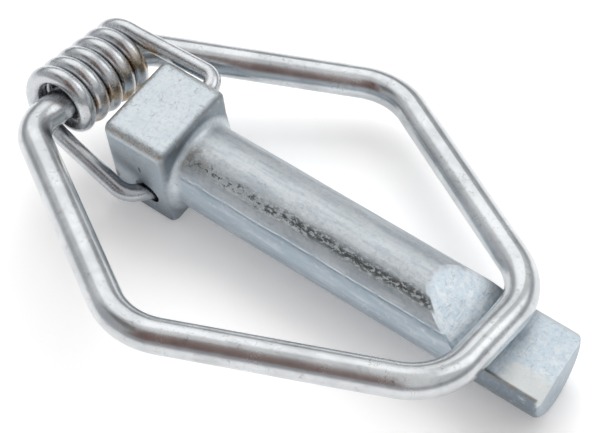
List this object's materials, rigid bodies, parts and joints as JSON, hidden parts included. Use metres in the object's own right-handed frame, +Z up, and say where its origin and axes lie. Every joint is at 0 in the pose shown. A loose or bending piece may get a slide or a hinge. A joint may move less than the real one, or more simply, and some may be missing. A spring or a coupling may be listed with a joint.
{
  "type": "lynch pin",
  "caption": "Lynch pin with a square forged head, a round shank with a ramped flat tip, and a wire bail on a coil spring that closes over the tip.",
  "frame": {"origin": "on the axis of the shank, in the plane of the shoulder where the head begins", "axes": "+X along the shank to the tip, +Z up through the top of the head, +Y across the head to the far side"},
  "size_m": [0.109, 0.0783, 0.0288],
  "materials": {
    "pin_zinc": "zinc plated forging, satin, with fine dents and wear",
    "spring_zinc": "zinc plated spring wire, bright",
    "bail_zinc": "zinc plated drawn wire, smooth and bright"
  },
  "bodies": {
    "pin": {"forged_pin": "pin_zinc"},
    "spring": {"torsion_spring": "spring_zinc"},
    "bail": {"bail": "bail_zinc"}
  },
  "joints": [
    {"name": "spring_swing", "type": "hinge", "parent": "pin", "child": "spring", "pos_m": [-0.0047, 0, 0.00305], "axis": [0, -1, 0], "range_deg": [0, 12], "stiffness_Nm_per_rad": 1.5, "deforming": ["torsion_spring"]},
    {"name": "bail_swing", "type": "hinge", "parent": "spring", "child": "bail", "pos_m": [-0.0238, -0.00258, 0.00805], "axis": [-0.0145, -0.973, 0.2302], "range_deg": [0, 165]}
  ]
}
